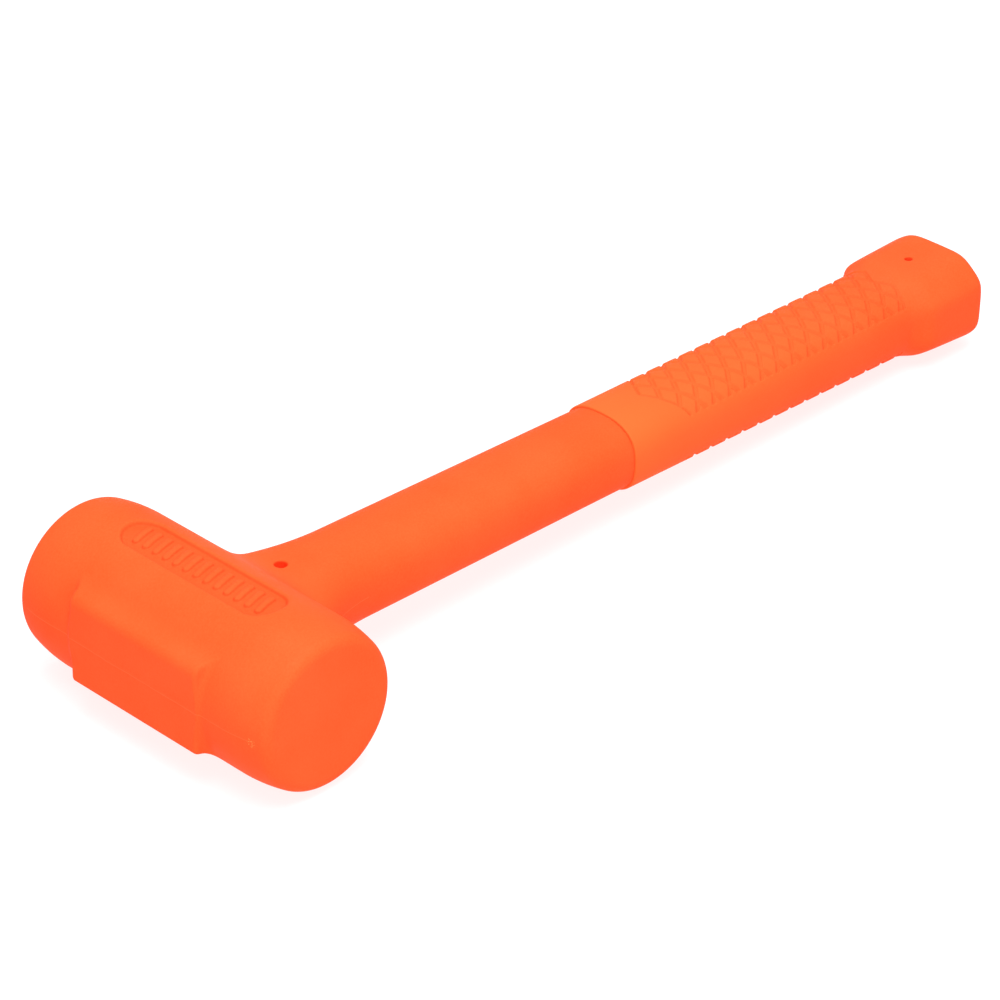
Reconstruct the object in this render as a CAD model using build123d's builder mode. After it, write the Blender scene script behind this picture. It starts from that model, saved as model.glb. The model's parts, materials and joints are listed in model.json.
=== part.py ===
from build123d import *
import math
import os

# Dead blow mallet, millimetres, +Z up.
# It lies flat: the handle runs along +X from head to butt, and the drum-shaped head along Y.
# Everything is drawn about the head's centre, then moved once so that the origin is the middle of
# the whole mallet's footprint, on the plane that the drum rests on.

# ---- driving dimensions -------------------------------------------------------------------------
# drum (the striking head)
drum_half_length = 54.1
drum_radius = 26.2
shoulder_length = 16.2          # along the drum's axis
shoulder_depth = 2.32           # towards the drum's axis
face_edge_radius = 4.0          # roll between the shoulders and the striking faces

# pad on the side of the head away from the handle
pad_reach = 26.9                # from the drum's axis to the pad's face
pad_length = 54.8
pad_height = 29.2
pad_rise = 0.2                  # of the pad's middle above the drum's axis
pad_draft = 9.0                 # degrees
pad_edge_radius = 1.6

# sunken badge on top of the drum, with plain slanted bars standing up from its floor
badge_length = 65.0
badge_width = 14.8
badge_depth = 1.6
badge_centre = -1.0
bar_count = 13
bar_pitch = 4.4
bar_length = 9.0
bar_width = 2.0
bar_lean = 16.0                 # degrees
bar_height = 0.8

# neck and shank
neck_half_width = 15.0
neck_half_height = 13.4
neck_end = 56.0                 # where the flare into the drum ends
flare_radius = 55.0
step_station = 165.5            # where the grip starts
shank_half_width = 15.04        # at the step
shank_half_height = 12.22
neck_roundness = 2.4            # superellipse exponent: 2 is an ellipse, more is squarer
shank_roundness = 2.5

# grip sleeve and pommel
sleeve_half_width = 15.7
sleeve_half_height = 12.88
sleeve_tail_half_width = 15.95  # where the pommel starts
sleeve_tail_half_height = 13.8
sleeve_roundness = 2.56
pommel_start = 303.0
pommel_half_width = 20.3
pommel_half_height = 14.7
pommel_front_length = 6.5       # of the steep flare ahead of the pommel
pommel_front_half_width = 14.8  # where the flare starts, inside the sleeve
pommel_front_half_height = 12.6
pommel_facet = 0.54             # share of the height and the width that stays flat
pommel_corner = 0.45            # corner radius as a share of the half width
butt_station = 329.4
butt_half_width = 20.7
butt_half_height = 16.5
butt_edge_radius = 4.0
sleeve_wall = 3.0
pommel_wall = 7.0               # thickness of the closed end of the sleeve

# diamond pattern on the top and the underside of the grip
diamond_start = 181.9           # front point of the grooved field
diamond_pitch = 7.51
diamond_columns = 15
diamond_end = 29.8              # rear end of the grooved field, in half pitches
diamond_zigzag = (0.0, 1.0, 0.6, 0.2)           # how far the rear end reaches past that, by row
diamond_centre = -0.4           # of the pattern, off the handle's middle plane
diamond_rows = (0.0, 6.3, 11.3, 15.8, 19.8)     # where the grooves cross, out from the middle
diamond_half_width = 2.65
diamond_fill = 0.64             # how far a raised diamond reaches towards the next row
diamond_edge = 14.4             # where the smooth side bands start
groove_depth = 0.55
end_groove = 0.45               # width of the groove along the field's rear end, in half pitches

# blind pin holes that located the steel core in its mould
neck_pin_station = 30.7
neck_pin_radius = 2.0
butt_pin_station = 312.3
butt_pin_radius = 1.3

# steel canister inside the head
canister_radius = 18.0
canister_wall = 1.5
canister_half_length = 42.0
rim_thickness = 1.2
rim_overhang = 1.8
cap_depth = 4.5
cap_wall = 1.5

# steel core of the handle
tube_radius = 6.35
tube_wall = 1.6
tube_end = 316.0
socket_radius = 8.5
socket_end = 36.0
weld_leg = 2.2
plug_length = 12.0
plug_flange = 1.5

# loose steel shot
ball_radius = 3.0
ball_pitch = 6.05
ball_gap = 0.3                  # between the lowest balls and the canister
balls_per_row = (11, 11, 10, 9, 7)
rows_per_layer = (2, 3, 4, 5, 4)

# ---- derived ------------------------------------------------------------------------------------
canister_bore = canister_radius - canister_wall
cap_outer_face = canister_half_length - rim_thickness
cap_inner_face = cap_outer_face - cap_depth
core_half_width = sleeve_half_width - sleeve_wall
core_half_height = sleeve_half_height - sleeve_wall
core_end = butt_station - pommel_wall
mid_footprint = (butt_station - pad_reach) / 2
to_row_frame = Location((-mid_footprint, 0, drum_radius))

os.makedirs("parts", exist_ok=True)


def save(solid, name):
    """Write one sub-part in the mallet's own frame."""
    placed = solid.moved(to_row_frame)
    placed.label = name
    export_step(placed, "parts/" + name + ".step")


def oval(station, half_width, half_height, roundness, points=16):
    """Superellipse cross-section of the handle at a station along it."""
    outline = []
    for i in range(points):
        turn = 2 * math.pi * i / points
        across = math.cos(turn)
        upward = math.sin(turn)
        y = half_width * math.copysign(abs(across) ** (2 / roundness), across)
        z = half_height * math.copysign(abs(upward) ** (2 / roundness), upward)
        outline.append((y, z))
    with BuildSketch(Plane.YZ.offset(station)) as section:
        with BuildLine():
            Spline(*outline, periodic=True)
        make_face()
    return section.sketch


def blend(start, end, share):
    return start + (end - start) * share


def sleeve_outline(inset=0.0):
    """Outer form of the grip ahead of the pommel, or the same form a given depth below its surface."""
    front = oval(step_station, sleeve_half_width - inset, sleeve_half_height - inset, sleeve_roundness)
    tail = oval(
        pommel_start, sleeve_tail_half_width - inset, sleeve_tail_half_height - inset, sleeve_roundness
    )
    with BuildPart() as form:
        loft([front, tail], ruled=True)
    return form.part


def pommel_section(station, half_width, half_height):
    """Octagon with well rounded corners: flat top and sides, broad chamfers between them."""
    flat_width = half_width * pommel_facet
    flat_height = half_height * pommel_facet
    with BuildSketch(Plane.YZ.offset(station)) as section:
        Polygon(
            (half_width, -flat_height), (half_width, flat_height),
            (flat_width, half_height), (-flat_width, half_height),
            (-half_width, flat_height), (-half_width, -flat_height),
            (-flat_width, -half_height), (flat_width, -half_height),
            align=None,
        )
        fillet(section.vertices(), half_width * pommel_corner)
    return section.sketch


def pin_hole(station, radius):
    """Round tool that reaches from above the mallet down into the steel core."""
    with BuildPart() as tool:
        with BuildSketch(Plane.XY.offset(tube_radius - tube_wall)):
            with Locations((station, 0)):
                Circle(radius)
        extrude(amount=drum_radius)
    return tool.part


neck_pin_hole = pin_hole(neck_pin_station, neck_pin_radius)
butt_pin_hole = pin_hole(butt_pin_station, butt_pin_radius)

# ---- handle core: steel tube, plug, socket and weld ---------------------------------------------
with BuildPart() as canister_envelope:
    with BuildSketch(Plane.XZ.offset(-canister_half_length)):
        Circle(canister_radius)
    extrude(amount=2 * canister_half_length)

with BuildPart() as handle_tube:
    with BuildSketch(Plane.YZ):
        Circle(tube_radius)
        Circle(tube_radius - tube_wall, mode=Mode.SUBTRACT)
    extrude(amount=tube_end)
    add(canister_envelope.part, mode=Mode.SUBTRACT)
save(handle_tube.part, "handle_tube")

with BuildPart() as tube_end_plug:
    with BuildSketch(Plane.YZ.offset(tube_end - plug_length)):
        Circle(tube_radius - tube_wall)
    extrude(amount=plug_length)
    with BuildSketch(Plane.YZ.offset(tube_end)):
        Circle(tube_radius)
    extrude(amount=plug_flange)
save(tube_end_plug.part, "tube_end_plug")

with BuildPart() as neck_socket:
    with BuildSketch(Plane.YZ):
        Circle(socket_radius)
        Circle(tube_radius, mode=Mode.SUBTRACT)
    extrude(amount=socket_end)
    chamfer(neck_socket.edges().group_by(Axis.X)[-1].sort_by(SortBy.RADIUS)[-1], 1.0)
    add(canister_envelope.part, mode=Mode.SUBTRACT)
save(neck_socket.part, "neck_socket")

with BuildPart() as socket_weld:
    with BuildSketch(Plane.XY):
        with BuildLine():
            Polyline(
                (canister_radius - 4 * weld_leg, socket_radius),
                (canister_radius + weld_leg, socket_radius),
                (canister_radius, socket_radius + weld_leg),
                (canister_radius - 4 * weld_leg, socket_radius + weld_leg),
                close=True,
            )
        make_face()
    revolve(axis=Axis.X)
    add(canister_envelope.part, mode=Mode.SUBTRACT)
save(socket_weld.part, "socket_weld")

# ---- canister: tube with rolled rims, and a pressed cap in each end ------------------------------
with BuildPart() as canister_tube:
    with BuildSketch(Plane.XY):
        with BuildLine():
            Polyline(
                (canister_radius, -canister_half_length),
                (canister_radius, canister_half_length),
                (canister_bore - rim_overhang, canister_half_length),
                (canister_bore - rim_overhang, cap_outer_face),
                (canister_bore, cap_outer_face),
                (canister_bore, -cap_outer_face),
                (canister_bore - rim_overhang, -cap_outer_face),
                (canister_bore - rim_overhang, -canister_half_length),
                close=True,
            )
        make_face()
    revolve(axis=Axis.Y)
    outer_rims = canister_tube.edges().filter_by(GeomType.CIRCLE).group_by(SortBy.RADIUS)[-1]
    fillet(outer_rims, rim_thickness * 0.9)
save(canister_tube.part, "canister_tube")


def canister_cap(side):
    """Pressed steel cup, open side outwards. side is +1 for +Y, -1 for -Y."""
    with BuildPart() as cap:
        with BuildSketch(Plane.XY):
            with BuildLine():
                Polyline(
                    (0, side * cap_inner_face),
                    (canister_bore, side * cap_inner_face),
                    (canister_bore, side * cap_outer_face),
                    (canister_bore - cap_wall, side * cap_outer_face),
                    (canister_bore - cap_wall, side * (cap_inner_face + cap_wall)),
                    (0, side * (cap_inner_face + cap_wall)),
                    close=True,
                )
            make_face()
        revolve(axis=Axis.Y)
    return cap.part


cap_front = canister_cap(-1)
cap_back = canister_cap(1)
save(cap_front, "canister_cap_front")
save(cap_back, "canister_cap_back")

# ---- shot: layers of balls in straight rows, heaped from the bottom of the canister --------------
lowest_row = -math.sqrt((canister_bore - ball_radius - ball_gap) ** 2 - (ball_pitch / 2) ** 2)
layer_rise = ball_pitch * math.sqrt(3) / 2


def shot_layer(level):
    """One layer of separate steel balls."""
    height = lowest_row + level * layer_rise
    with BuildPart() as layer:
        with Locations((0, 0, height)):
            with GridLocations(ball_pitch, ball_pitch, rows_per_layer[level], balls_per_row[level]):
                Sphere(ball_radius)
    return layer.part


for level in range(len(balls_per_row)):
    save(shot_layer(level), "shot_layer_" + str(level + 1))

# ---- jacket: one casting, drum, pad, neck, shank and the core under the grip ---------------------
with BuildPart() as drum:
    face_radius = drum_radius - shoulder_depth
    shoulder_start = drum_half_length - shoulder_length
    with BuildSketch(Plane.XY):
        with BuildLine():
            Line((0, -drum_half_length), (face_radius, -drum_half_length))
            TangentArc((drum_radius, -shoulder_start), (face_radius, -drum_half_length), tangent=(0, -1))
            Line((drum_radius, -shoulder_start), (drum_radius, shoulder_start))
            TangentArc((drum_radius, shoulder_start), (face_radius, drum_half_length), tangent=(0, 1))
            Line((face_radius, drum_half_length), (0, drum_half_length))
            Line((0, drum_half_length), (0, -drum_half_length))
        make_face()
    revolve(axis=Axis.Y)
    rims = drum.edges().filter_by(GeomType.CIRCLE).group_by(Axis.Y)
    fillet(rims[0] + rims[-1], face_edge_radius)

with BuildPart() as pad:
    pad_plane = Plane(origin=(-pad_reach, 0, pad_rise), x_dir=(0, 1, 0), z_dir=(1, 0, 0))
    with BuildSketch(pad_plane):
        Rectangle(pad_length, pad_height)
    extrude(amount=pad_reach / 2, taper=-pad_draft)
    fillet(pad.edges().filter_by(Axis.Y, reverse=True).filter_by(Axis.Z, reverse=True), pad_edge_radius)
    fillet(pad.faces().sort_by(Axis.X)[0].edges(), pad_edge_radius)

flare_ovals = []
for station in (14.0, 20.0, 26.0, 32.0, 38.0, 44.0, 50.0, neck_end):
    flare = (neck_end - station) ** 2 / (2 * flare_radius)
    flare_ovals.append(oval(station, neck_half_width + flare, neck_half_height, neck_roundness))
shank_oval = oval(step_station, shank_half_width, shank_half_height, shank_roundness)
core_ovals = [
    oval(station, core_half_width, core_half_height, shank_roundness)
    for station in (step_station, core_end)
]
with BuildPart() as neck:
    loft(flare_ovals)
    loft([flare_ovals[-1], shank_oval], ruled=True)
    loft(core_ovals, ruled=True)

with BuildPart() as badge_cut:
    with BuildSketch(Plane.XY.offset(drum_radius / 2)):
        with Locations(Location((0, badge_centre), 90)):
            SlotOverall(badge_length, badge_width)
    extrude(amount=drum_radius)
    with BuildSketch(Plane.XZ.offset(-badge_length)):
        Circle(drum_radius - badge_depth)
    extrude(amount=2 * badge_length, mode=Mode.SUBTRACT)

with BuildPart() as badge_bars:
    with BuildSketch(Plane.XY):
        with Locations((0, badge_centre)):
            with GridLocations(0, bar_pitch, 1, bar_count):
                with Locations(Rotation(0, 0, bar_lean)):
                    SlotOverall(bar_length, bar_width)
    extrude(amount=drum_radius)
    with BuildSketch(Plane.XZ.offset(-badge_length)):
        Circle(drum_radius - badge_depth + bar_height)
    extrude(amount=2 * badge_length, mode=Mode.INTERSECT)

with BuildPart() as jacket:
    add(drum.part)
    add(pad.part)
    add(neck.part)
    add(badge_cut.part, mode=Mode.SUBTRACT)
    add(badge_bars.part)
    add(neck_pin_hole, mode=Mode.SUBTRACT)
    add(canister_tube.part, mode=Mode.SUBTRACT)
    add(cap_front, mode=Mode.SUBTRACT)
    add(cap_back, mode=Mode.SUBTRACT)
    with BuildSketch(Plane.XZ.offset(-cap_inner_face)):
        Circle(canister_bore)
    extrude(amount=2 * cap_inner_face, mode=Mode.SUBTRACT)
    with BuildSketch(Plane.YZ):
        Circle(tube_radius)
    extrude(amount=tube_end + plug_flange, mode=Mode.SUBTRACT)
    add(neck_socket.part, mode=Mode.SUBTRACT)
    add(socket_weld.part, mode=Mode.SUBTRACT)
    add(butt_pin_hole, mode=Mode.SUBTRACT)
save(jacket.part, "jacket")

# ---- grip sleeve: closed pommel, diamond grooves on the top and the underside --------------------


def lattice_point(steps, row):
    """A crossing of the grooves, counted in half pitches along and rows across the handle."""
    return (
        diamond_start + steps * diamond_pitch / 2,
        diamond_centre + math.copysign(diamond_rows[abs(row)], row),
    )


def field_corners(trim):
    """Outline of the grooved field, with its rear end moved forward by a number of half pitches."""
    front = [lattice_point(abs(row), row) for row in range(-3, 4)]
    rear = [
        lattice_point(diamond_end + diamond_zigzag[abs(row)] - trim, row)
        for row in range(3, -4, -1)
    ]
    return front + rear


def groove_field():
    """Plan view of the grooves: the field's outline with the raised diamonds left out."""
    with BuildSketch() as raised:
        for row in range(-3, 4):
            for steps in range(abs(row) + 1, 2 * diamond_columns + 1, 2):
                centre, middle = lattice_point(steps, row)
                top = blend(middle, lattice_point(steps, row + 1)[1], diamond_fill)
                bottom = blend(middle, lattice_point(steps, row - 1)[1], diamond_fill)
                left = centre - diamond_half_width
                right = centre + diamond_half_width
                Polygon((left, middle), (centre, bottom), (right, middle), (centre, top), align=None)
        Polygon(*field_corners(end_groove), align=None, mode=Mode.INTERSECT)
    with BuildSketch() as field:
        Polygon(*field_corners(0), align=None)
        add(raised.sketch, mode=Mode.SUBTRACT)
        with Locations((diamond_start, 0)):
            Rectangle(butt_station, 2 * diamond_edge, mode=Mode.INTERSECT)
    return field.sketch


with BuildPart() as pommel:
    crest = pommel_section(pommel_start, pommel_half_width, pommel_half_height)
    loft([
        pommel_section(
            pommel_start - pommel_front_length, pommel_front_half_width, pommel_front_half_height
        ),
        crest,
    ], ruled=True)
    loft([crest, pommel_section(butt_station, butt_half_width, butt_half_height)], ruled=True)
    fillet(pommel.faces().sort_by(Axis.X)[-1].edges(), butt_edge_radius)

with BuildPart() as grip_sleeve:
    add(sleeve_outline())
    add(pommel.part)
    with BuildPart(mode=Mode.PRIVATE) as grooves:
        add(groove_field())
        extrude(amount=2 * butt_half_height, both=True)
        add(sleeve_outline(groove_depth), mode=Mode.SUBTRACT)
    add(grooves.part, mode=Mode.SUBTRACT)
    add(neck.part, mode=Mode.SUBTRACT)
    add(butt_pin_hole, mode=Mode.SUBTRACT)
save(grip_sleeve.part, "grip_sleeve")
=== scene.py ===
"""Looks of the dead blow mallet: moulded skins, steel internals, soft studio light and the camera."""
import json
import math

import bpy
import numpy as np
from mathutils import Matrix, Vector


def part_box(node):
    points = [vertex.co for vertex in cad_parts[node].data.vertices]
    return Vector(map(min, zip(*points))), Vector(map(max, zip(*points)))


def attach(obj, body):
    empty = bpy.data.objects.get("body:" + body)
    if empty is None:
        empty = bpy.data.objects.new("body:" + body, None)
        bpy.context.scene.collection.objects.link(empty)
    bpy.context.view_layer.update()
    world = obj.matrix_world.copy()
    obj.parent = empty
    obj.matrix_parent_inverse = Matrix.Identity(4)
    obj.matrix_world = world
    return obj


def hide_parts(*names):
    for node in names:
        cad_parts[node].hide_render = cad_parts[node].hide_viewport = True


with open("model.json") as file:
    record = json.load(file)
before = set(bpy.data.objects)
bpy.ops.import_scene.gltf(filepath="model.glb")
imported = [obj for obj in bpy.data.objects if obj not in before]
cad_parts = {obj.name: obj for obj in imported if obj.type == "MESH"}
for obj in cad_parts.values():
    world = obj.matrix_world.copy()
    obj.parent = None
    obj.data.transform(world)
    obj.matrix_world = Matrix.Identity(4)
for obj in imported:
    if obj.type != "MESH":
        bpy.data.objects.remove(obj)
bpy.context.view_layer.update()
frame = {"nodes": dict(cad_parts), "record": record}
MM = 0.001

# ---- dimensions, in millimetres about the head's centre -------------------------------------------
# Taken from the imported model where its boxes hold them.
# A "blend" is the width over which two surfaces run into one another.


def centre_of(node):
    low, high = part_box(node)
    return (low + high) / 2


HEAD = centre_of("canister_tube")
JACKET_LOW, JACKET_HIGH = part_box("jacket")
SLEEVE_LOW, SLEEVE_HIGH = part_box("grip_sleeve")

drum_half_length = (JACKET_HIGH.y - JACKET_LOW.y) / 2 / MM
drum_radius = (HEAD.z - JACKET_LOW.z) / MM
shoulder_length = 16.2
shoulder_depth = 2.32
face_edge_blend = 3.3
pad_reach = (HEAD.x - JACKET_LOW.x) / MM
pad_half_length = 27.4
pad_top = 14.8
pad_bottom = -14.4
pad_draft = math.radians(9.0)
pad_root_blend = 2.5
pad_top_edge_blend = 4.0
pad_edge_blend = 1.4

badge_centre = -1.0
badge_half_length = 32.5
badge_half_width = 7.4
badge_depth = 1.6
badge_draft = 0.35
badge_rim_blend = 1.0
badge_floor_blend = 0.8
bar_count = 13
bar_pitch = 4.4
bar_half_length = 4.5
bar_half_width = 1.0
bar_lean = math.radians(16.0)
bar_height = 0.8
bar_draft = 0.25
bar_edge_blend = 0.5
bar_root_blend = 0.4
badge_underside = 5.0

neck_half_width = 15.0
neck_half_height = 13.4
neck_end = 56.0
flare_radius = 55.0
neck_roundness = 2.4
step_station = (SLEEVE_LOW.x - HEAD.x) / MM
shank_half_width = 15.04
shank_half_height = 12.22
shank_roundness = 2.5
crease_blend = 7.0
core_inset = 3.0
sleeve_overlap = 0.02

sleeve_half_width = 15.7
sleeve_half_height = 12.88
sleeve_tail_half_width = 15.95
sleeve_tail_half_height = 13.8
sleeve_roundness = 2.56
sleeve_rim_blend = 0.6
pommel_start = 303.0
pommel_half_width = 20.3
pommel_half_height = 14.7
pommel_front_length = 6.5
pommel_front_width_slope = 0.85
pommel_front_height_slope = 0.32
pommel_front_bend = 1.5
pommel_root_blend = 2.0
pommel_chamfer = 1.54
pommel_corner_power = 16.0
butt_inset = 0.5
butt_station = (SLEEVE_HIGH.x - HEAD.x) / MM - butt_inset
butt_half_width = 20.5
butt_half_height = 16.3
butt_edge_blend = 4.2

diamond_start = 181.9
diamond_half_pitch = 3.755
diamond_centre = -0.4
diamond_rows = (0.0, 6.3, 11.3, 15.8, 19.8)
diamond_last = 29.8
diamond_zigzag = (0.0, 1.0, 0.6, 0.2, -0.2)
diamond_edge = 14.4
diamond_half_width = 0.69
diamond_half_height = 0.63
diamond_slope = 2.2
pattern_edge_softness = 0.3
groove_wall = 0.8
groove_depth = 0.55
end_groove_width = 1.6

neck_pin_station = 30.7
neck_pin_radius = 2.0
butt_pin_station = 312.3
butt_pin_radius = 1.3
neck_pin_floor = 8.5
butt_pin_floor = 9.0
pin_rim_blend = 0.5

# Painted shade: how far the badge's recess, the grooves and the pin holes are darkened towards a deep red,
# where shade falls in them.
badge_painted_shade = 0.12
badge_painted_shade_start = 0.2
groove_painted_shade = 0.07
pin_painted_shade_fade = (-0.3, 0.1)
painted_shade_margin = 0.5
# Paler colour on the grip sleeve, strongest at its front rim and fading towards the butt.
paling_length = 25.0
paling_near_share = 0.3

# ---- distance fields ------------------------------------------------------------------------------


def smooth_min(a, b, width):
    """Smaller of two distances: a union, with the joint filled over the width."""
    mix = np.maximum(width - np.abs(a - b), 0.0) / width
    return np.minimum(a, b) - mix * mix * width / 4


def smooth_max(a, b, width):
    """Larger of two distances: an intersection, with the edge rounded over the width."""
    return -smooth_min(-a, -b, width)


def ramp(low, high, value):
    """Smooth step from 0 at low to 1 at high."""
    t = np.clip((value - low) / (high - low), 0.0, 1.0)
    return t * t * (3 - 2 * t)


def drum_field(x, y, z):
    """Barrel along Y, with shoulders that curve in towards rounded striking faces."""
    in_shoulder = np.maximum(np.abs(y) - drum_half_length + shoulder_length, 0.0) / shoulder_length
    side = np.hypot(x, z) - drum_radius + shoulder_depth * in_shoulder * in_shoulder
    return smooth_max(side, np.abs(y) - drum_half_length, face_edge_blend)


def pad_field(x, y, z):
    """Drafted block with a broad roll along its long edges."""
    depth = x + pad_reach
    spread = depth * math.tan(pad_draft)
    front = -depth
    top_side = (z - pad_top - spread) * math.cos(pad_draft)
    bottom_side = (pad_bottom - z - spread) * math.cos(pad_draft)
    end_side = (np.abs(y) - pad_half_length - spread) * math.cos(pad_draft)
    block = smooth_max(front, top_side, pad_top_edge_blend)
    block = smooth_max(block, bottom_side, pad_edge_blend)
    block = smooth_max(block, end_side, pad_edge_blend)
    return np.maximum(block, x + drum_radius / 2)


def oval_field(y, z, half_width, half_height, roundness):
    """Near-surface distance to a superellipse tube."""
    across = np.abs(y / half_width) + 1e-6
    upward = np.abs(z / half_height) + 1e-6
    level = (across ** roundness + upward ** roundness) ** (1 / roundness)
    slope_y = (across / level) ** (roundness - 1) / half_width
    slope_z = (upward / level) ** (roundness - 1) / half_height
    return (level - 1.0) / np.hypot(slope_y, slope_z)


def neck_field(x, y, z):
    """Neck, shank and the core that runs on under the grip."""
    share = np.clip((x - neck_end) / (step_station - neck_end), 0.0, 1.0)
    flare = np.maximum(neck_end - x, 0.0) ** 2 / (2 * flare_radius)
    half_width = neck_half_width + (shank_half_width - neck_half_width) * share + flare
    half_height = neck_half_height + (shank_half_height - neck_half_height) * share
    roundness = neck_roundness + (shank_roundness - neck_roundness) * share
    shank = oval_field(y, z, half_width, half_height, roundness)
    shank = np.maximum(shank, x - step_station - sleeve_overlap)
    core = oval_field(
        y, z, sleeve_half_width - core_inset, sleeve_half_height - core_inset, shank_roundness
    )
    core = np.maximum(core, x - butt_station + 2 * core_inset)
    return np.maximum(np.minimum(shank, core), drum_radius / 2 - x)


def pin_hole_field(x, y, z, station, radius, floor):
    """Blind hole from above, down to the floor's height."""
    return np.maximum(np.hypot(x - station, y) - radius, floor - z)


def badge_field(x, y, z):
    """The badge's hollow, without its bars."""
    radius = np.hypot(x, z)
    straight = badge_half_length - badge_half_width
    along = np.maximum(np.abs(y - badge_centre) - straight, 0.0)
    stadium = np.hypot(along, x) - badge_half_width
    walls = stadium + badge_draft * np.clip(drum_radius - radius, -1.0, badge_depth)
    floor = drum_radius - badge_depth - radius
    return np.maximum(smooth_max(walls, floor, badge_floor_blend), badge_underside - z)


def bars_field(x, y, z):
    """A row of plain slanted bars on the badge's floor."""
    radius = np.hypot(x, z)
    last = bar_count // 2
    step = np.clip(np.round((y - badge_centre - x * math.tan(bar_lean)) / bar_pitch), -last, last)
    dy = y - badge_centre - step * bar_pitch
    along = x * math.cos(bar_lean) + dy * math.sin(bar_lean)
    across = dy * math.cos(bar_lean) - x * math.sin(bar_lean)
    over = np.maximum(np.abs(along) - bar_half_length + bar_half_width, 0.0)
    bar = np.hypot(over, across) - bar_half_width
    top = radius - (drum_radius - badge_depth + bar_height)
    bar = bar + bar_draft * top
    return np.maximum(smooth_max(bar, top, bar_edge_blend), badge_underside - z)


def jacket_field(x, y, z):
    """The whole casting. The blend at the pad's root is cut off level with the pad's face."""
    body = smooth_min(drum_field(x, y, z), pad_field(x, y, z), pad_root_blend)
    body = np.maximum(body, -x - pad_reach)
    body = smooth_min(body, neck_field(x, y, z), crease_blend)
    body = smooth_max(body, -badge_field(x, y, z), badge_rim_blend)
    body = smooth_min(body, bars_field(x, y, z), bar_root_blend)
    hole = pin_hole_field(x, y, z, neck_pin_station, neck_pin_radius, neck_pin_floor)
    return smooth_max(body, -hole, pin_rim_blend)


def groove_amount(x, y):
    """Diamond pattern: 0 on the raised diamonds and outside the pattern, 1 on the grooves' floor."""
    aside = y - diamond_centre
    row = np.interp(np.abs(aside), diamond_rows, range(len(diamond_rows)))
    steps = (x - diamond_start) / diamond_half_pitch
    rising = 2 * np.floor((steps + row) / 2) + 1
    falling = 2 * np.floor((steps - row) / 2) + 1
    off_step = np.abs(steps - (rising + falling) / 2)
    off_row = np.abs(row - (rising - falling) / 2)
    from_diamond = (off_step / diamond_half_width + off_row / diamond_half_height - 1) * diamond_slope
    zigzag = diamond_last + np.interp(row, range(len(diamond_zigzag)), diamond_zigzag)
    to_end = (zigzag - steps) * diamond_half_pitch
    to_front = (steps - row) * diamond_half_pitch
    end_groove = 1 - ramp(end_groove_width - groove_wall, end_groove_width, to_end)
    groove = np.maximum(ramp(0.0, groove_wall, from_diamond), end_groove)
    in_pattern = ramp(-pattern_edge_softness, pattern_edge_softness, np.minimum(to_front, to_end))
    groove = groove * in_pattern
    return groove * ramp(0.0, groove_wall, diamond_edge - np.abs(y))


def pommel_field(x, y, z):
    """Flat top and sides with broad soft chamfers, and a steep front that dives into the grip."""
    tail = np.clip((x - pommel_start) / (butt_station - pommel_start), 0.0, 1.0)
    ahead = np.clip(pommel_start - x, -2 * pommel_front_length, 2 * pommel_front_length)
    front = (ahead + np.hypot(ahead, pommel_front_bend)) / 2
    half_width = pommel_half_width + (butt_half_width - pommel_half_width) * tail
    half_height = pommel_half_height + (butt_half_height - pommel_half_height) * tail
    half_width = half_width - pommel_front_width_slope * front
    half_height = half_height - pommel_front_height_slope * front
    across = np.abs(y / half_width) + 1e-6
    upward = np.abs(z / half_height) + 1e-6
    slant = (across + upward) / pommel_chamfer
    power = pommel_corner_power
    level = (across ** power + upward ** power + slant ** power) ** (1 / power)
    slant_share = (slant / level) ** (power - 1) / pommel_chamfer
    slope_y = ((across / level) ** (power - 1) + slant_share) / half_width
    slope_z = ((upward / level) ** (power - 1) + slant_share) / half_height
    return (level - 1.0) / np.hypot(slope_y, slope_z)


def sleeve_field(x, y, z):
    """Grip with its grooves, the pommel, the butt and the open rim."""
    along = np.clip((x - step_station) / (pommel_start - step_station), 0.0, 1.0)
    half_width = sleeve_half_width + (sleeve_tail_half_width - sleeve_half_width) * along
    half_height = sleeve_half_height + (sleeve_tail_half_height - sleeve_half_height) * along
    body = oval_field(y, z, half_width, half_height, sleeve_roundness)
    body = body + groove_depth * groove_amount(x, y)
    body = smooth_min(body, pommel_field(x, y, z), pommel_root_blend)
    body = smooth_max(body, x - butt_station, butt_edge_blend)
    body = smooth_max(body, step_station - x, sleeve_rim_blend)
    hole = pin_hole_field(x, y, z, butt_pin_station, butt_pin_radius, butt_pin_floor)
    return smooth_max(body, -hole, pin_rim_blend)


# ---- painted shade and paler colour carried by the meshes -------------------------------------------


def pin_painted_shade(x, y, station, radius):
    """Painted shade down a pin hole: 1 over the hole, fading out across its rim."""
    inner, outer = pin_painted_shade_fade
    return 1 - ramp(radius + inner, radius + outer, np.hypot(x - station, y))


def jacket_painted_shade(x, y, z):
    """Painted shade in the badge's recess and down the pin hole, where shade falls."""
    stadium = np.hypot(np.maximum(np.abs(y - badge_centre) - badge_half_length + badge_half_width, 0.0), x)
    sunk = ramp(badge_painted_shade_start, badge_depth, drum_radius - np.hypot(x, z))
    badge = sunk * (stadium < badge_half_width + painted_shade_margin) * (z > 0)
    pin = pin_painted_shade(x, y, neck_pin_station, neck_pin_radius) * (z > neck_pin_floor - painted_shade_margin)
    return np.maximum(badge_painted_shade * badge, pin)


def sleeve_painted_shade(x, y, z):
    """Painted shade in the grooves and down the pin hole, where shade falls."""
    pin = pin_painted_shade(x, y, butt_pin_station, butt_pin_radius) * (z > butt_pin_floor - painted_shade_margin)
    return np.maximum(groove_painted_shade * groove_amount(x, y), pin)


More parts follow.
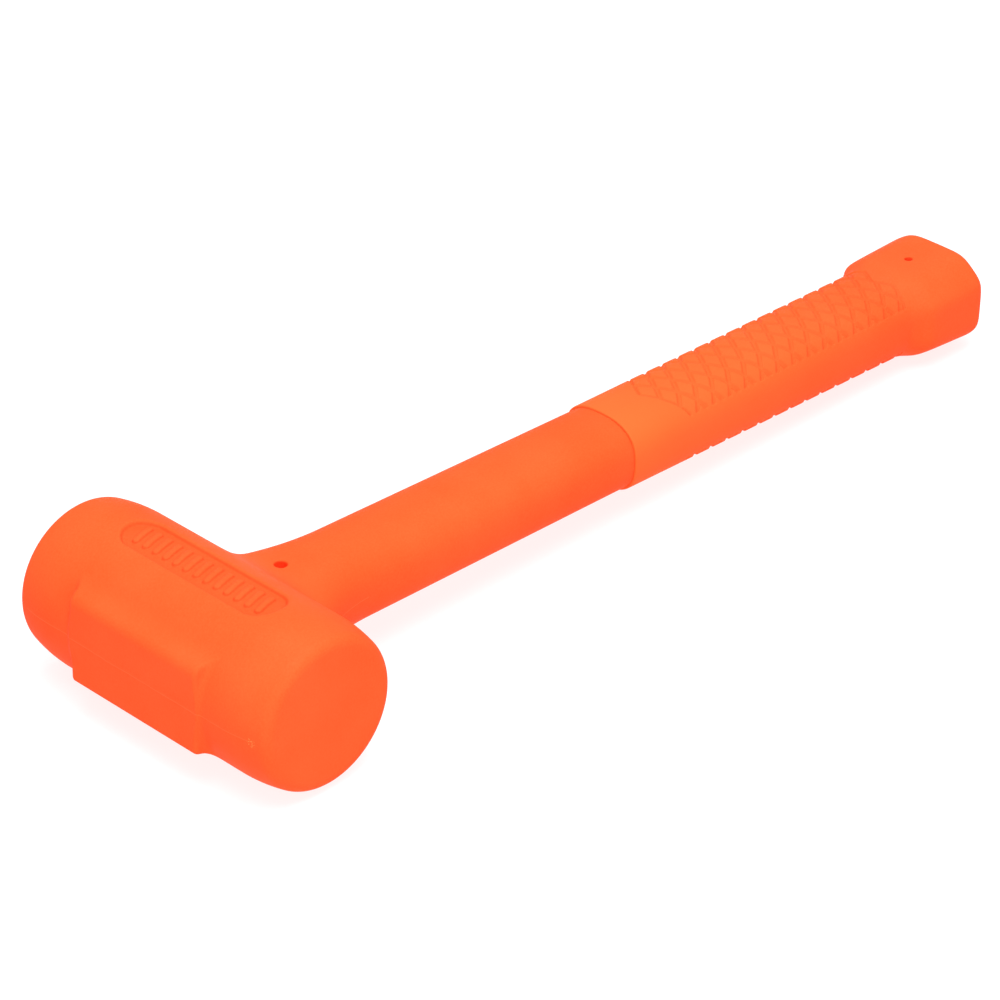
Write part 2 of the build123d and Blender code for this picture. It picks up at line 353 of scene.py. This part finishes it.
def sleeve_paling(x, y, z):
    """Paler surface towards the open end of the sleeve."""
    near = 1 - ramp(step_station, step_station + paling_length, x)
    far = 1 - ramp(step_station, butt_station, x)
    return paling_near_share * near + (1 - paling_near_share) * far


def no_paling(x, y, z):
    return np.zeros_like(x)


# ---- meshing --------------------------------------------------------------------------------------

triangle_budget = 190000


def spaced(*runs):
    """Grid lines from (start, end, spacing) runs that follow one another."""
    lines = []
    for start, end, spacing in runs:
        count = max(1, int(round((end - start) / spacing)))
        lines.extend(np.linspace(start, end, count, endpoint=False))
    lines.append(runs[-1][1])
    return np.array(lines)


def sample_near_surface(field, xs, ys, zs, block=8):
    """Field values on the grid. Blocks that the surface can't reach only get the sign of their middle."""
    shape = (len(xs), len(ys), len(zs))
    starts = [range(0, n, block) for n in shape]
    middles = []
    halves = []
    for lines, first in zip((xs, ys, zs), starts):
        ends = [min(i + block, len(lines) - 1) for i in first]
        middles.append(np.array([(lines[i] + lines[e]) / 2 for i, e in zip(first, ends)]))
        halves.append(np.array([(lines[e] - lines[i]) / 2 for i, e in zip(first, ends)]))
    mx, my, mz = np.meshgrid(*middles, indexing="ij")
    hx, hy, hz = np.meshgrid(*halves, indexing="ij")
    coarse = field(mx, my, mz)
    # The factor and the 3 mm allow for blends and for fields that aren't exact distances.
    near = np.abs(coarse) < 1.4 * np.sqrt(hx * hx + hy * hy + hz * hz) + 3.0

    def widen(array):
        for axis in range(3):
            array = np.repeat(array, block, axis=axis)
        return array[: shape[0], : shape[1], : shape[2]]

    values = np.where(widen(coarse) > 0, 1.0, -1.0)
    ix, iy, iz = np.nonzero(widen(near))
    values[ix, iy, iz] = field(xs[ix], ys[iy], zs[iz])
    return values


def field_slope(field, points, step=0.05):
    slope = np.empty_like(points)
    for axis in range(3):
        ahead = points.copy()
        behind = points.copy()
        ahead[:, axis] += step
        behind[:, axis] -= step
        slope[:, axis] = (field(*ahead.T) - field(*behind.T)) / (2 * step)
    return slope


def settle(field, points, rounds=4, reach=0.6):
    """Move points along the field's slope until they lie on its surface."""
    for _ in range(rounds):
        slope = field_slope(field, points)
        size = np.maximum((slope * slope).sum(1), 0.05)
        move = slope * (field(*points.T) / size)[:, None]
        length = np.linalg.norm(move, axis=1)[:, None] + 1e-9
        points = points - move * np.minimum(1.0, reach / length)
    return points


def surface_net(field, xs, ys, zs):
    """Quads over the field's zero surface, one vertex in each grid cell that it crosses."""
    values = sample_near_surface(field, xs, ys, zs)
    inside = values < 0
    nx, ny, nz = (n - 1 for n in inside.shape)
    count = np.zeros((nx, ny, nz), np.int64)
    for i in (0, 1):
        for j in (0, 1):
            for k in (0, 1):
                count += inside[i: i + nx, j: j + ny, k: k + nz]
    crossed = (count > 0) & (count < 8)
    cell_index = -np.ones(crossed.shape, np.int64)
    cells = np.argwhere(crossed)
    cell_index[crossed] = np.arange(len(cells))
    lines = (xs, ys, zs)
    total = np.zeros((len(cells), 3))
    hits = np.zeros(len(cells))
    for axis in range(3):
        others = [a for a in range(3) if a != axis]
        for i in (0, 1):
            for j in (0, 1):
                start = cells.copy()
                start[:, others[0]] += i
                start[:, others[1]] += j
                end = start.copy()
                end[:, axis] += 1
                a = values[tuple(start.T)]
                b = values[tuple(end.T)]
                hit = (a < 0) != (b < 0)
                share = np.where(hit, a / np.where(hit, a - b, 1.0), 0.0)
                point = np.stack([lines[k][start[:, k]] for k in range(3)], 1)
                point[:, axis] += share * (lines[axis][end[:, axis]] - lines[axis][start[:, axis]])
                total += point * hit[:, None]
                hits += hit
    points = total / hits[:, None]
    quads = []
    for axis in range(3):
        u, v = [(1, 2), (2, 0), (0, 1)][axis]
        low = [slice(None)] * 3
        high = [slice(None)] * 3
        low[axis] = slice(0, -1)
        high[axis] = slice(1, None)
        for other in (u, v):
            low[other] = slice(1, -1)
            high[other] = slice(1, -1)
        first = inside[tuple(low)]
        second = inside[tuple(high)]
        change = np.argwhere(first != second)
        outward = first[tuple(change.T)]
        change[:, u] += 1
        change[:, v] += 1
        around = []
        for du, dv in ((1, 1), (0, 1), (0, 0), (1, 0)):
            cell = change.copy()
            cell[:, u] -= du
            cell[:, v] -= dv
            around.append(cell_index[tuple(cell.T)])
        ring = np.stack(around, 1)
        ring[~outward] = ring[~outward][:, ::-1]
        quads.append(ring)
    return points, np.concatenate(quads)


def mesh_piece(name, field, shade, paling, xs, ys, zs, faces):
    """Smooth mesh of a field, thinned to about the number of triangles asked for."""
    points, quads = surface_net(field, xs, ys, zs)
    points = settle(field, points)
    mesh = bpy.data.meshes.new(name)
    mesh.from_pydata(points.tolist(), [], quads.tolist())
    mesh.validate()
    piece = bpy.data.objects.new(name, mesh)
    bpy.context.scene.collection.objects.link(piece)
    thin = piece.modifiers.new("thin", "DECIMATE")
    thin.ratio = min(1.0, faces / (2 * len(quads)))
    evaluated = piece.evaluated_get(bpy.context.evaluated_depsgraph_get())
    thinned = bpy.data.meshes.new_from_object(evaluated)
    piece.modifiers.clear()
    piece.data = thinned
    co = np.empty(len(thinned.vertices) * 3)
    thinned.vertices.foreach_get("co", co)
    co = settle(field, co.reshape(-1, 3), rounds=2, reach=0.1)
    normals = field_slope(field, co)
    normals /= np.linalg.norm(normals, axis=1)[:, None] + 1e-9
    # Each vertex carries its painted shade and its paler colour, which the materials mix into the base
    # colour.
    for label, amount in (("shade", shade), ("paling", paling)):
        tint = thinned.attributes.new(label, "FLOAT", "POINT")
        tint.data.foreach_set("value", amount(*co.T))
    placed = co * MM + np.array(HEAD)
    thinned.vertices.foreach_set("co", placed.ravel())
    thinned.polygons.foreach_set("use_smooth", [True] * len(thinned.polygons))
    thinned.update()
    thinned.normals_split_custom_set_from_vertices(normals.tolist())
    return piece


# The grids are fine round the head, the grip's rim, the grooves and the butt, and coarser between them.
jacket_skin = mesh_piece(
    "jacket_skin",
    jacket_field,
    jacket_painted_shade,
    no_paling,
    spaced(
        (-28.0, 36.0, 0.5), (36.0, 60.0, 1.0), (60.0, step_station - 2, 2.4),
        (step_station - 2, step_station + 2, 0.5), (step_station + 2, butt_station - 5, 4.0),
    ),
    spaced((-55.0, 55.0, 0.5)),
    spaced((-27.5, 27.5, 0.5)),
    triangle_budget,
)
sleeve_skin = mesh_piece(
    "sleeve_skin",
    sleeve_field,
    sleeve_painted_shade,
    sleeve_paling,
    spaced(
        (step_station - 1, step_station + 1.5, 0.25), (step_station + 1.5, 179.0, 1.0),
        (179.0, 300.0, 0.42), (300.0, 309.0, 0.8), (309.0, 315.6, 0.4),
        (315.6, butt_station - 4, 1.0), (butt_station - 4, butt_station + 1, 0.4),
    ),
    spaced((-21.5, 21.5, 0.42)),
    spaced((-17.2, 17.2, 0.42)),
    triangle_budget,
)
for piece, node in ((jacket_skin, "jacket"), (sleeve_skin, "grip_sleeve")):
    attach(piece, "mallet")
    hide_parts(node)

# ---- materials ------------------------------------------------------------------------------------


def new_material(name):
    material = bpy.data.materials.new(name)
    material.use_nodes = True
    nodes = material.node_tree.nodes
    return material, nodes, material.node_tree.links, nodes["Principled BSDF"]


def noise_node(nodes, links, coordinates, scale, detail=3.0, roughness=0.5):
    noise = nodes.new("ShaderNodeTexNoise")
    noise.inputs["Scale"].default_value = scale
    noise.inputs["Detail"].default_value = detail
    noise.inputs["Roughness"].default_value = roughness
    links.new(coordinates, noise.inputs["Vector"])
    return noise


def ramp_node(nodes, links, factor, low, high, start=0.3, end=0.7):
    """Colour ramp between two colours."""
    ramp_colours = nodes.new("ShaderNodeValToRGB")
    ramp_colours.color_ramp.elements[0].position = start
    ramp_colours.color_ramp.elements[1].position = end
    ramp_colours.color_ramp.elements[0].color = (*low, 1.0)
    ramp_colours.color_ramp.elements[1].color = (*high, 1.0)
    links.new(factor, ramp_colours.inputs["Fac"])
    return ramp_colours


def range_node(nodes, links, value, middle, spread):
    """A value from 0 to 1, mapped to the range of the spread about the middle."""
    mapped = nodes.new("ShaderNodeMapRange")
    mapped.inputs["To Min"].default_value = middle - spread
    mapped.inputs["To Max"].default_value = middle + spread
    links.new(value, mapped.inputs["Value"])
    return mapped


def math_node(nodes, links, operation, first, second):
    """Arithmetic on a socket and a number, or on two sockets."""
    node = nodes.new("ShaderNodeMath")
    node.operation = operation
    links.new(first, node.inputs[0])
    if isinstance(second, float):
        node.inputs[1].default_value = second
    else:
        links.new(second, node.inputs[1])
    return node.outputs["Value"]


def parting_line(nodes, links, place):
    """1 on the thin seam round the head at the height of its axis, 0 elsewhere and on the strike faces."""
    wander = noise_node(nodes, links, place, wander_scale, detail=2.0)
    lift = math_node(nodes, links, "MULTIPLY", wander.outputs["Fac"], seam_wander)
    axes = nodes.new("ShaderNodeSeparateXYZ")
    links.new(place, axes.inputs["Vector"])
    height = math_node(nodes, links, "ADD", axes.outputs["Z"], lift)
    height = math_node(nodes, links, "SUBTRACT", height, HEAD.z + seam_wander / 2)
    distance = math_node(nodes, links, "ABSOLUTE", height, 0.0)
    seam = nodes.new("ShaderNodeMapRange")
    seam.interpolation_type = "SMOOTHSTEP"
    seam.inputs["From Min"].default_value = seam_half_width
    seam.inputs["From Max"].default_value = 0.0
    links.new(distance, seam.inputs["Value"])
    across = math_node(nodes, links, "ABSOLUTE", axes.outputs["Y"], 0.0)
    off_face = math_node(nodes, links, "LESS_THAN", across, seam_reach)
    on_head = math_node(nodes, links, "LESS_THAN", axes.outputs["X"], seam_end)
    on_side = math_node(nodes, links, "MULTIPLY", off_face, on_head)
    return math_node(nodes, links, "MULTIPLY", seam.outputs["Result"], on_side)


def casting_scar(nodes, links, place):
    """1 on a few tiny specks on the drum's parting line near the front strike face, 0 elsewhere."""
    away = nodes.new("ShaderNodeVectorMath")
    away.operation = "DISTANCE"
    away.inputs[1].default_value = scar_centre
    links.new(place, away.inputs[0])
    nearness = nodes.new("ShaderNodeMapRange")
    nearness.inputs["From Min"].default_value = scar_radius
    nearness.inputs["From Max"].default_value = scar_radius / 2
    links.new(away.outputs["Value"], nearness.inputs["Value"])
    specks = noise_node(nodes, links, place, speck_scale, detail=1.0)
    amount = math_node(nodes, links, "MULTIPLY", specks.outputs["Fac"], nearness.outputs["Result"])
    return math_node(nodes, links, "GREATER_THAN", amount, speck_threshold)


def tinted(nodes, links, base, colour, amount):
    """Mix a colour into a base by the amount on a socket."""
    tint = nodes.new("ShaderNodeMix")
    tint.data_type = "RGBA"
    tint.inputs["B"].default_value = (*colour, 1.0)
    links.new(amount, tint.inputs["Factor"])
    links.new(base, tint.inputs["A"])
    return tint.outputs["Result"]


def mesh_tint(nodes, label):
    attribute = nodes.new("ShaderNodeAttribute")
    attribute.attribute_name = label
    return attribute.outputs["Fac"]


def urethane(name, low, high, gloss, roughness):
    """Cast elastomer: near-even colour, satin, fine moulded grain, the head's parting line and scar, the
    mesh's paler colour towards the grip's rim, and painted shade in the grooves, the badge's recess and the
    pin holes.
    """
    material, nodes, links, shader = new_material(name)
    place = nodes.new("ShaderNodeTexCoord").outputs["Object"]
    grain = noise_node(nodes, links, place, grain_scale, detail=2.0, roughness=0.6)
    clouds = noise_node(nodes, links, place, cloud_scale)
    shade = math_node(nodes, links, "ADD", grain.outputs["Fac"], clouds.outputs["Fac"])
    shade = math_node(nodes, links, "MULTIPLY", shade, 0.5)
    colour = ramp_node(nodes, links, shade, low, high)
    seam = parting_line(nodes, links, place)
    surface = tinted(nodes, links, colour.outputs["Color"], paling_colour, mesh_tint(nodes, "paling"))
    surface = tinted(nodes, links, surface, seam_colour, seam)
    # Painted shade: the grooves, the badge's recess and the pin holes are darkened towards a deep red.
    surface = tinted(nodes, links, surface, painted_shade_colour, mesh_tint(nodes, "shade"))
    scar = casting_scar(nodes, links, place)
    surface = tinted(nodes, links, surface, scar_colour, scar)
    links.new(surface, shader.inputs["Base Color"])
    patches = noise_node(nodes, links, place, patch_scale)
    sheen = range_node(nodes, links, patches.outputs["Fac"], roughness, skin_spread)
    links.new(sheen.outputs["Result"], shader.inputs["Roughness"])
    relief = math_node(nodes, links, "ADD", grain.outputs["Fac"], seam)
    bump = nodes.new("ShaderNodeBump")
    bump.inputs["Strength"].default_value = 1.0
    bump.inputs["Distance"].default_value = grain_height
    links.new(relief, bump.inputs["Height"])
    links.new(bump.outputs["Normal"], shader.inputs["Normal"])
    shader.inputs["Specular IOR Level"].default_value = gloss
    return material


def steel(name, low, high, roughness, scale):
    """Bare metal, clouded and with uneven gloss."""
    material, nodes, links, shader = new_material(name)
    place = nodes.new("ShaderNodeTexCoord").outputs["Object"]
    clouds = noise_node(nodes, links, place, scale)
    colour = ramp_node(nodes, links, clouds.outputs["Fac"], low, high)
    links.new(colour.outputs["Color"], shader.inputs["Base Color"])
    patches = noise_node(nodes, links, place, 3 * scale)
    rough = range_node(nodes, links, patches.outputs["Fac"], roughness, steel_spread)
    links.new(rough.outputs["Result"], shader.inputs["Roughness"])
    shader.inputs["Metallic"].default_value = 1.0
    return material


def black_plastic(name, low, high, roughness, scale):
    """Matt plastic with faint clouds."""
    material, nodes, links, shader = new_material(name)
    place = nodes.new("ShaderNodeTexCoord").outputs["Object"]
    clouds = noise_node(nodes, links, place, scale)
    colour = ramp_node(nodes, links, clouds.outputs["Fac"], low, high)
    links.new(colour.outputs["Color"], shader.inputs["Base Color"])
    shader.inputs["Roughness"].default_value = roughness
    return material


# Noise scales are in cells per metre.
grain_scale = 1500.0
grain_height = 0.06 * MM
cloud_scale = 40.0
patch_scale = 90.0
skin_spread = 0.05
steel_spread = 0.08
seam_half_width = 0.25 * MM
seam_wander = 1.0 * MM
wander_scale = 60.0
seam_reach = 49.0 * MM
seam_end = HEAD.x + 52.0 * MM
seam_colour = (0.97, 0.114, 0.030)
scar_centre = HEAD + Vector((-25.2, -49.0, -0.1)) * MM
scar_radius = 2.6 * MM
speck_scale = 2600.0
speck_threshold = 0.58
scar_colour = (0.98, 0.22, 0.06)
paling_colour = (0.98, 0.111, 0.024)
# Colour of the painted shade in the grooves, the badge's recess and the pin holes.
painted_shade_colour = (0.90, 0.012, 0.002)
jacket_orange = urethane(
    "jacket_urethane", low=(0.93, 0.073, 0.015), high=(0.96, 0.095, 0.024), gloss=0.025, roughness=0.55
)
grip_orange = urethane(
    "grip_urethane", low=(0.93, 0.075, 0.015), high=(0.96, 0.099, 0.026), gloss=0.04, roughness=0.6
)
finishes = {
    "jacket_urethane": jacket_orange,
    "grip_urethane": grip_orange,
    "plug_plastic": black_plastic("plug_plastic", (0.03, 0.03, 0.032), (0.06, 0.06, 0.065), 0.6, 300.0),
    "canister_steel": steel("canister_steel", (0.46, 0.46, 0.47), (0.56, 0.56, 0.57), 0.35, 120.0),
    "cap_steel": steel("cap_steel", (0.54, 0.53, 0.49), (0.64, 0.63, 0.59), 0.30, 150.0),
    "socket_steel": steel("socket_steel", (0.40, 0.40, 0.41), (0.50, 0.50, 0.51), 0.40, 150.0),
    "weld_steel": steel("weld_steel", (0.22, 0.21, 0.20), (0.42, 0.40, 0.38), 0.50, 600.0),
    "tube_steel": steel("tube_steel", (0.45, 0.45, 0.46), (0.55, 0.55, 0.56), 0.35, 120.0),
    "shot_steel": steel("shot_steel", (0.34, 0.34, 0.35), (0.48, 0.48, 0.49), 0.30, 400.0),
}


def paint(piece, material):
    piece.data.materials.clear()
    piece.data.materials.append(material)


paint(jacket_skin, jacket_orange)
paint(sleeve_skin, grip_orange)
slot_of = {part["node"]: part["material_slot"] for part in frame["record"]["subparts"]}
for node, piece in frame["nodes"].items():
    paint(piece, finishes[slot_of[node]])

# ---- stage ----------------------------------------------------------------------------------------


def in_frame(x, y, z):
    """A point of the frame, from millimetres about the head's centre."""
    return Vector((x, y, z)) * MM + HEAD


# The mallet lies on its drum and on the lower edge of its butt, so the floor is tilted to meet both.
butt_edge_inset = 1.4
butt_edge_rise = 0.1
rest_edge_x = butt_station - butt_edge_inset
rest_edge_drop = butt_half_height - butt_edge_rise
edge_reach = math.hypot(rest_edge_x, rest_edge_drop)
floor_tilt = math.asin(drum_radius / edge_reach) - math.atan2(rest_edge_drop, rest_edge_x)
floor_gap = 0.1
floor_drop = drum_radius + floor_gap
floor_size = 12.0
floor_greys = (0.20, 0.21)
floor_glow = 4.0
sky_greys = (0.46, 0.8)
sky_strength = 1.1

bpy.ops.mesh.primitive_plane_add(size=floor_size)
floor = bpy.context.object
floor.name = "floor"
floor.location = in_frame(floor_drop * math.sin(floor_tilt), 0.0, -floor_drop * math.cos(floor_tilt))
floor.rotation_euler = (0.0, -floor_tilt, 0.0)
floor_paint, floor_nodes, floor_links, floor_shader = new_material("floor_paint")
floor_place = floor_nodes.new("ShaderNodeTexCoord").outputs["Object"]
floor_noise = noise_node(floor_nodes, floor_links, floor_place, 2.0)
floor_low, floor_high = [(grey,) * 3 for grey in floor_greys]
floor_colour = ramp_node(floor_nodes, floor_links, floor_noise.outputs["Fac"], floor_low, floor_high)
floor_links.new(floor_colour.outputs["Color"], floor_shader.inputs["Base Color"])
floor_links.new(floor_colour.outputs["Color"], floor_shader.inputs["Emission Color"])
floor_shader.inputs["Emission Strength"].default_value = floor_glow
floor_shader.inputs["Roughness"].default_value = 0.9
paint(floor, floor_paint)

world = bpy.data.worlds.new("studio")
bpy.context.scene.world = world
world.use_nodes = True
world_nodes = world.node_tree.nodes
world_links = world.node_tree.links
sky_direction = world_nodes.new("ShaderNodeTexCoord")
sky_axes = world_nodes.new("ShaderNodeSeparateXYZ")
world_links.new(sky_direction.outputs["Generated"], sky_axes.inputs["Vector"])
sky_low, sky_high = [(grey,) * 3 for grey in sky_greys]
sky = ramp_node(world_nodes, world_links, sky_axes.outputs["Z"], sky_low, sky_high, start=0.0, end=1.0)
world_links.new(sky.outputs["Color"], world_nodes["Background"].inputs["Color"])
world_nodes["Background"].inputs["Strength"].default_value = sky_strength


def soft_light(name, aim, direction, distance, size, power):
    """Square area light aimed at a point on the handle's axis."""
    data = bpy.data.lights.new(name, "AREA")
    data.shape = "SQUARE"
    data.size = size
    data.energy = power
    light = bpy.data.objects.new(name, data)
    bpy.context.scene.collection.objects.link(light)
    toward = Vector(direction).normalized()
    light.location = in_frame(aim, 0.0, 0.0) + toward * distance
    light.rotation_euler = (-toward).to_track_quat("-Z", "Y").to_euler()


soft_light("key", aim=150.0, direction=(-0.20, -0.22, 0.955), distance=1.6, size=1.1, power=35.0)
soft_light("head_fill", aim=0.0, direction=(-0.50, -0.86, 0.10), distance=0.45, size=0.16, power=0.55)

# ---- camera ---------------------------------------------------------------------------------------
view_azimuth = math.radians(-45.38)
view_elevation = math.radians(30.36)
view_roll = math.radians(1.16)
view_distance = 1310.168
view_target = (121.368, 0.0, -1.264)
sensor_width = 36.0
view_lens = 4.27 * sensor_width
view_clip_end = 20.0

back = Vector((
    math.sin(view_azimuth) * math.cos(view_elevation),
    -math.cos(view_azimuth) * math.cos(view_elevation),
    math.sin(view_elevation),
))
right = Vector((math.cos(view_azimuth), math.sin(view_azimuth), 0.0))
up = back.cross(right)
rolled_right = right * math.cos(view_roll) + up * math.sin(view_roll)
rolled_up = up * math.cos(view_roll) - right * math.sin(view_roll)
camera_data = bpy.data.cameras.new("camera")
camera_data.sensor_width = sensor_width
camera_data.lens = view_lens
camera_data.clip_end = view_clip_end
camera = bpy.data.objects.new("camera", camera_data)
bpy.context.scene.collection.objects.link(camera)
place = in_frame(*view_target) + back * view_distance * MM
camera.matrix_world = Matrix((
    (rolled_right.x, rolled_up.x, back.x, place.x),
    (rolled_right.y, rolled_up.y, back.y, place.y),
    (rolled_right.z, rolled_up.z, back.z, place.z),
    (0.0, 0.0, 0.0, 1.0),
))
bpy.context.scene.camera = camera
bpy.context.scene.view_settings.view_transform = "Standard"
